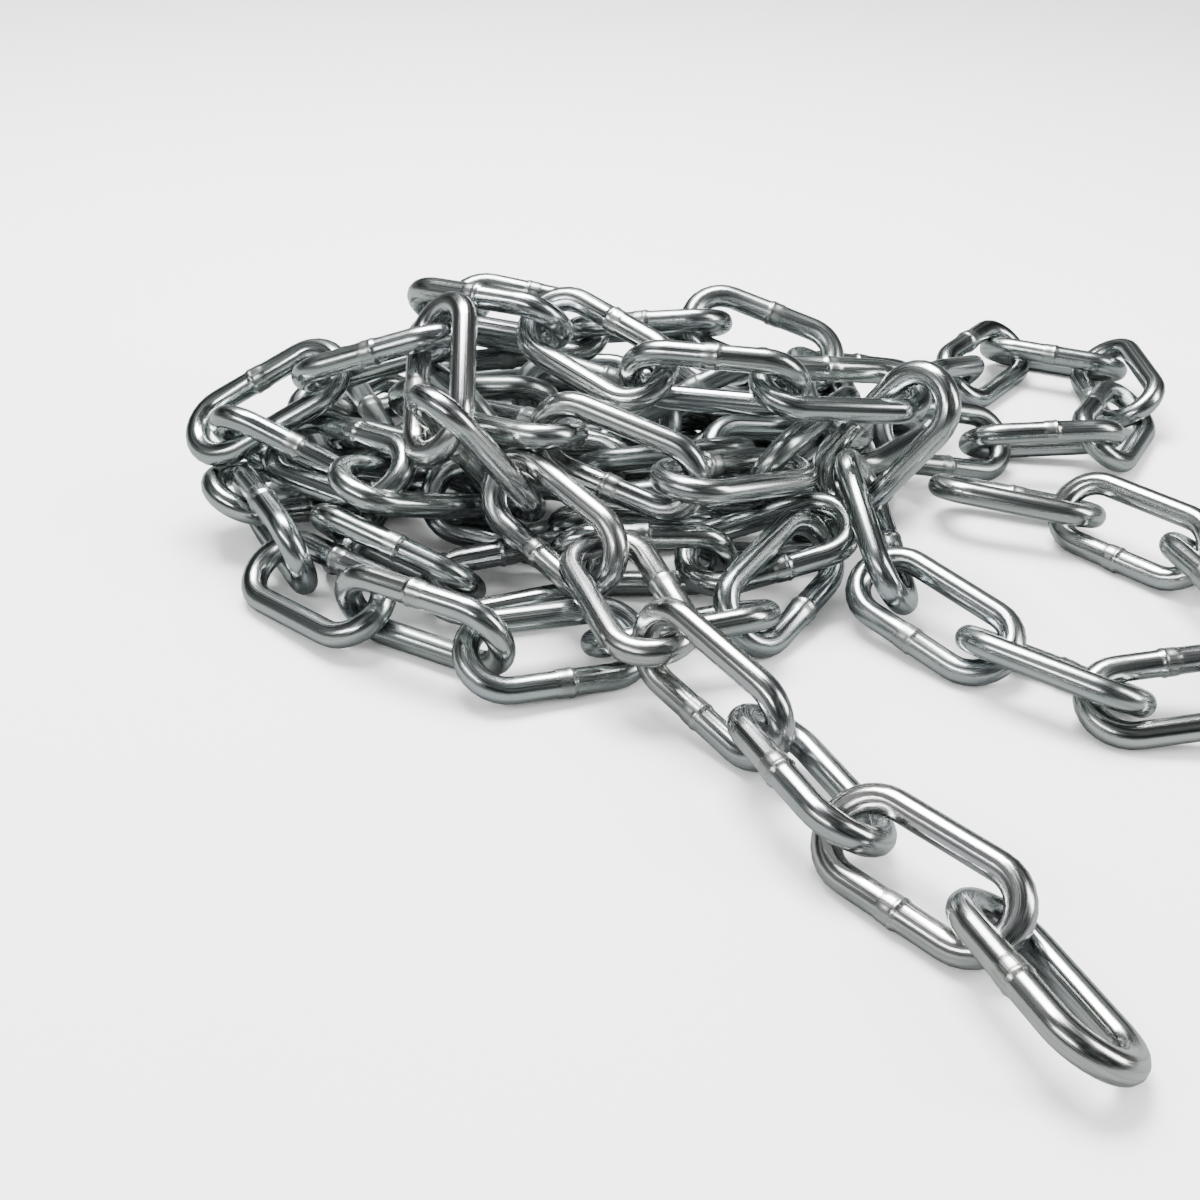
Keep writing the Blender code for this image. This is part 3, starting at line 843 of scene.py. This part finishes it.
class ChainZinc(bpy.types.PropertyGroup):
    """Colours and finish of the zinc plate."""

    cool_plate: bpy.props.FloatVectorProperty(name="Cool Plate", description="Bluish bright plate",
                                              default=(0.45, 0.488, 0.480), subtype="COLOR")
    warm_plate: bpy.props.FloatVectorProperty(name="Warm Plate", description="Warmer grey plate",
                                              default=(0.57, 0.562, 0.542), subtype="COLOR")
    tinted_plate: bpy.props.FloatVectorProperty(name="Tinted Plate", description="Faint violet tint",
                                                default=(0.44, 0.45, 0.50), subtype="COLOR")
    dull_plate: bpy.props.FloatVectorProperty(name="Dull Plate", description="Duller patches",
                                              default=(0.245, 0.275, 0.268), subtype="COLOR")
    # Painted shade colour for the links deep in the heap
    painted_shade_plate: bpy.props.FloatVectorProperty(name="Painted Shade Plate", description="Painted shade deep in the heap",
                                               default=(0.085, 0.10, 0.097), subtype="COLOR")
    weld_scale: bpy.props.FloatVectorProperty(name="Weld Scale", description="Greyer scale at the welds",
                                              default=(0.36, 0.36, 0.34), subtype="COLOR")
    roughness: bpy.props.FloatProperty(name="Roughness", description="Roughness of the bright plate",
                                       default=0.19)
    line_depth: bpy.props.FloatProperty(name="Line Depth", description="Depth of the draw lines",
                                        default=0.000009, unit="LENGTH")


class ChainStudio(bpy.types.PropertyGroup):
    """Floor, room and lights."""

    floor_colour: bpy.props.FloatVectorProperty(name="Floor", description="Pale floor",
                                                default=(0.94, 0.94, 0.94), subtype="COLOR")
    mirrored_floor: bpy.props.FloatVectorProperty(name="Mirrored Floor",
                                                  description="Floor as the metal reflects it",
                                                  default=(0.20, 0.212, 0.210), subtype="COLOR")
    dark_room: bpy.props.FloatVectorProperty(name="Dark Room", description="Dim parts of the room",
                                             default=(0.012, 0.017, 0.017), subtype="COLOR")
    pale_room: bpy.props.FloatVectorProperty(name="Pale Room", description="Paler bands of the room",
                                             default=(0.27, 0.288, 0.284), subtype="COLOR")
    backdrop: bpy.props.FloatVectorProperty(name="Backdrop", description="Low backdrop round the floor",
                                            default=(0.20, 0.208, 0.205), subtype="COLOR")
    room_strength: bpy.props.FloatProperty(name="Room Strength", description="Brightness of the room",
                                           default=1.0)
    fill_strength: bpy.props.FloatProperty(name="Fill", description="Pale fill that reaches the floor",
                                           default=1.6)
    key_power: bpy.props.FloatProperty(name="Key Light", description="Power of the overhead light",
                                       default=16.5, unit="POWER")
    side_power: bpy.props.FloatProperty(name="Side Light", description="Power of the side light",
                                        default=5.0, unit="POWER")
    strip_power: bpy.props.FloatProperty(name="Strip Light", description="Power of the narrow front strip",
                                         default=2.6, unit="POWER")


class CHAIN_OT_open_links(bpy.types.Operator):
    """Dress the links that have their own node"""

    bl_idname = "chain.open_links"
    bl_label = "Open Links"

    def execute(self, context):
        add_links(context, shared=False)
        return {"FINISHED"}


class CHAIN_OT_buried_links(bpy.types.Operator):
    """Dress the buried and rear links, three to a piece"""

    bl_idname = "chain.buried_links"
    bl_label = "Buried Links"

    def execute(self, context):
        add_links(context, shared=True)
        return {"FINISHED"}


class CHAIN_OT_studio(bpy.types.Operator):
    """Add the floor, the room, the lights and the camera"""

    bl_idname = "chain.studio"
    bl_label = "Studio"

    def execute(self, context):
        look = context.scene.chain_studio
        mesh = bmesh.new()
        bmesh.ops.create_grid(mesh, x_segments=1, y_segments=1, size=FLOOR_REACH)
        shape = bpy.data.meshes.new("floor")
        mesh.to_mesh(shape)
        mesh.free()
        shape.materials.append(floor_material(look))
        floor = bpy.data.objects.new("floor", shape)
        context.scene.collection.objects.link(floor)
        floor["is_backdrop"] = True
        add_surroundings(look)
        powers = {"key": look.key_power, "side": look.side_power, "strip": look.strip_power}
        for name, power in powers.items():
            add_light(name, *LIGHTS[name], power)
        add_camera(chain_in_row()[4])
        return {"FINISHED"}


class CHAIN_PT_heap(bpy.types.Panel):
    """Lists the heap's operators and sizes"""

    bl_label = "Chain Heap"
    bl_space_type = "VIEW_3D"
    bl_region_type = "UI"
    bl_category = "Chain"

    def draw(self, context):
        layout = self.layout
        for group in (context.scene.chain_sizes, context.scene.chain_zinc, context.scene.chain_studio):
            for key in group.__annotations__:
                layout.prop(group, key)
        for operator in OPERATORS:
            layout.operator(operator.bl_idname)


GROUPS = {"chain_sizes": ChainSizes, "chain_zinc": ChainZinc, "chain_studio": ChainStudio}
OPERATORS = (CHAIN_OT_open_links, CHAIN_OT_buried_links, CHAIN_OT_studio)


def register():
    for kind in (*GROUPS.values(), *OPERATORS, CHAIN_PT_heap):
        bpy.utils.register_class(kind)
    for key, kind in GROUPS.items():
        setattr(bpy.types.Scene, key, bpy.props.PointerProperty(type=kind))


def unregister():
    for key in GROUPS:
        delattr(bpy.types.Scene, key)
    for kind in reversed((*GROUPS.values(), *OPERATORS, CHAIN_PT_heap)):
        bpy.utils.unregister_class(kind)


def main():
    register()
    bpy.ops.chain.open_links()
    bpy.ops.chain.buried_links()
    bpy.ops.chain.studio()
    boxes = {"cad": CAD_BOX, "visual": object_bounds()}
    boxes = {key: [[float(part) for part in corner] for corner in box] for key, box in boxes.items()}


if __name__ == "__main__":
    main()
